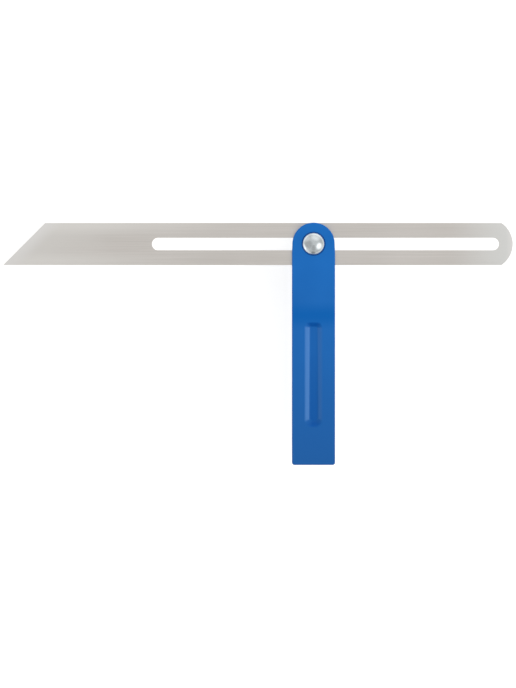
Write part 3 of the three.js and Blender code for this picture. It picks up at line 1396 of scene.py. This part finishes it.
TENT_PATCHES = (
    TentPatch("right panel", 338, 37, 9, 31, 2.3),
    TentPatch("left strip", 200, 2, 12, 22, 1.6),
    TentPatch("low left panel", 222, 11, 8, 26, 1.3),
    TentPatch("left flag", 190, 50, 12, 42, 0.72),
    TentPatch("far panel", 72, 24, 10, 44, 1.55),
    TentPatch("far left panel", 142, 16, 10, 30, 1.3),
    TentPatch("near flag, high", 272, 68, 2, 16, 0.72),
    TentPatch("near flag, middle", 270, 46, 4, 22, 0.68),
    TentPatch("near flag, low", 268, 10, 6, 18, 0.45),
)


@dataclass(frozen=True)
class Lamp:
    """A softbox, seen from above from the frame's origin, in millimetres and watts."""

    kind: Softbox
    place: Point
    height: float
    size: Point
    watts: float


LAMPS = (
    Lamp(Softbox.RIGHT, (2050, -750), 1700, (2000, 2000), 18.0),
    Lamp(Softbox.LEFT, (-1800, 600), 1600, (2200, 2200), 8.0),
)


@dataclass
class Studio:
    """A pale floor, a light tent, soft lamps and a camera that looks straight down on the tool."""

    view_centre: Point = (-27.6, -49.8)
    view_height: float = 342.7
    camera_distance: float = 2000.0
    sensor: float = 36.0
    floor_size: float = 6000.0
    floor_drop: float = 2.3
    floor_colour: str = "#cfcfcd"
    floor_lift: float = 0.58
    tent_colour: str = "#ffffff"
    roof_strength: float = 0.89
    wall_strength: float = 0.74
    roof_heights: Point = (0.3, 0.75)
    rim_share: float = 1.55
    rim_heights: Point = (0.06, 0.22)

    def camera(self, pivot: Vector) -> None:
        """Sets the camera over the tool.

        Args:
            pivot: The bolt's axis at the middle of the blade.
        """
        data = bpy.data.cameras.new("camera")
        data.sensor_width = self.sensor
        data.lens = self.sensor * self.camera_distance / self.view_height
        made = bpy.data.objects.new("camera", data)
        made.location = pivot + Vector((*self.view_centre, self.camera_distance)) * MM
        bpy.context.scene.collection.objects.link(made)
        bpy.context.scene.camera = made

    def hang(self, lamp: Lamp) -> None:
        """Hangs a softbox that faces the tool. Mirrors show the tent and not the lamp.

        Args:
            lamp: The softbox.
        """
        data = bpy.data.lights.new(f"softbox_{lamp.kind.value}", "AREA")
        data.shape = "RECTANGLE"
        data.size, data.size_y = lamp.size[0] * MM, lamp.size[1] * MM
        data.energy = lamp.watts
        made = bpy.data.objects.new(data.name, data)
        made.location = Vector((*lamp.place, lamp.height)) * MM
        made.rotation_euler = (-made.location).to_track_quat("-Z", "Y").to_euler()
        made.visible_glossy = False
        bpy.context.scene.collection.objects.link(made)
        log.info("%s: %.1f W", data.name, data.energy)

    def seen_directly(self, tree: NodeTree) -> NodeSocket:
        """Tells the rays that look at a thing from those that light others by it.

        Args:
            tree: The node tree that asks.

        Returns:
            The socket with 1 for rays from the camera, mirrors and glass, and 0 for the rest.
        """
        path = add_node(tree, "ShaderNodeLightPath")
        seen = path.outputs["Is Camera Ray"]
        for ray in ("Is Glossy Ray", "Is Transmission Ray"):
            seen = add_node(
                tree, "ShaderNodeMath", {"operation": "MAXIMUM"}, {0: seen, 1: path.outputs[ray]}
            ).outputs[0]
        return seen

    def floor(self) -> None:
        """Lays a floor of matt background paper, which keeps the tool's shadow and reads as white.

        It lies low enough for the wing nut to travel down the bolt without meeting it.
        """
        half = self.floor_size / 2
        corners = [(x, y, -self.floor_drop) for x, y in rectangle(half, -half, half)]
        piece = make_piece("studio_floor", corners, [[0, 1, 2, 3]])
        material = bpy.data.materials.new("matt_background_paper")
        material.use_nodes = True
        tree = material.node_tree
        tree.nodes.clear()
        paper = add_node(tree, "ShaderNodeBsdfDiffuse", {"Color": linear(self.floor_colour)})
        strength = add_node(
            tree,
            "ShaderNodeMath",
            {"operation": "MULTIPLY", 1: self.floor_lift},
            {0: self.seen_directly(tree)},
        )
        glow = add_node(tree, "ShaderNodeEmission", None, {"Strength": strength.outputs[0]})
        both = add_node(tree, "ShaderNodeAddShader", None, {0: paper.outputs[0], 1: glow.outputs[0]})
        add_node(tree, "ShaderNodeOutputMaterial", None, {"Surface": both.outputs[0]})
        piece.data.materials.append(material)

    def tent(self) -> None:
        """Hangs a white tent round the room, brightest round its foot, with its panels and flags."""
        world = bpy.data.worlds.new("light_tent")
        world.use_nodes = True
        tree = world.node_tree
        tree.nodes.clear()
        way = add_node(tree, "ShaderNodeTexCoord").outputs["Generated"]
        height = add_node(tree, "ShaderNodeSeparateXYZ", None, {0: way}).outputs["Z"]
        ranges = [
            (height, *self.roof_heights, self.wall_strength, self.roof_strength),
            (height, *self.rim_heights, self.rim_share, 1.0),
        ]
        for patch in TENT_PATCHES:
            towards = add_node(
                tree,
                "ShaderNodeVectorMath",
                {"label": patch.name, "operation": "DOT_PRODUCT", 1: patch.aim()},
                {0: way},
            )
            edge, core = (math.cos(math.radians(angle)) for angle in (patch.reach, patch.core))
            ranges.append((towards.outputs["Value"], edge, core, 1.0, patch.share))
        shares = []
        for value, start, end, low, high in ranges:
            share = add_node(
                tree,
                "ShaderNodeMapRange",
                {
                    "interpolation_type": "SMOOTHSTEP",
                    "From Min": start,
                    "From Max": end,
                    "To Min": low,
                    "To Max": high,
                },
                {"Value": value},
            )
            shares.append(share.outputs["Result"])
        strength = shares[0]
        for share in shares[1:]:
            strength = add_node(
                tree, "ShaderNodeMath", {"operation": "MULTIPLY"}, {0: strength, 1: share}
            ).outputs[0]
        light = add_node(
            tree, "ShaderNodeBackground", {"Color": linear(self.tent_colour)}, {"Strength": strength}
        )
        add_node(tree, "ShaderNodeOutputWorld", None, {"Surface": light.outputs[0]})
        bpy.context.scene.world = world

    def build(self, pivot: Vector) -> None:
        """Sets up the studio.

        Args:
            pivot: The bolt's axis at the middle of the blade.
        """
        self.floor()
        self.tent()
        for lamp in LAMPS:
            self.hang(lamp)
        self.camera(pivot)
        bpy.context.scene.view_settings.view_transform = "Standard"


def main() -> None:
    """Loads the frame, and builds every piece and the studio."""
    logging.basicConfig(level=logging.INFO, format="%(name)s %(message)s", stream=sys.stdout)
    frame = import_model()
    swing = next(joint for joint in frame["joints"] if joint["name"] == PIVOT_JOINT)
    pivot = Vector(swing["pos_m"])
    place = Matrix.Translation(pivot)
    nickel, zinc, rolled = (metal.build(pivot) for metal in (BRIGHT_NICKEL, CLEAR_ZINC, ROLLED_STEEL))
    pieces = [
        *HandleCasting().build(place, PowderCoat()),
        *SlottedBlade().build(place, BrushedSteel()),
        *PivotClamp().build(place, nickel, zinc, rolled),
        *WingNut().build(place, zinc),
    ]
    for piece in pieces:
        log.info("%s: %d points, %d faces", piece.name, len(piece.data.vertices), len(piece.data.polygons))
    Studio().build(pivot)
    bpy.context.view_layer.update()


if __name__ == "__main__":
    main()
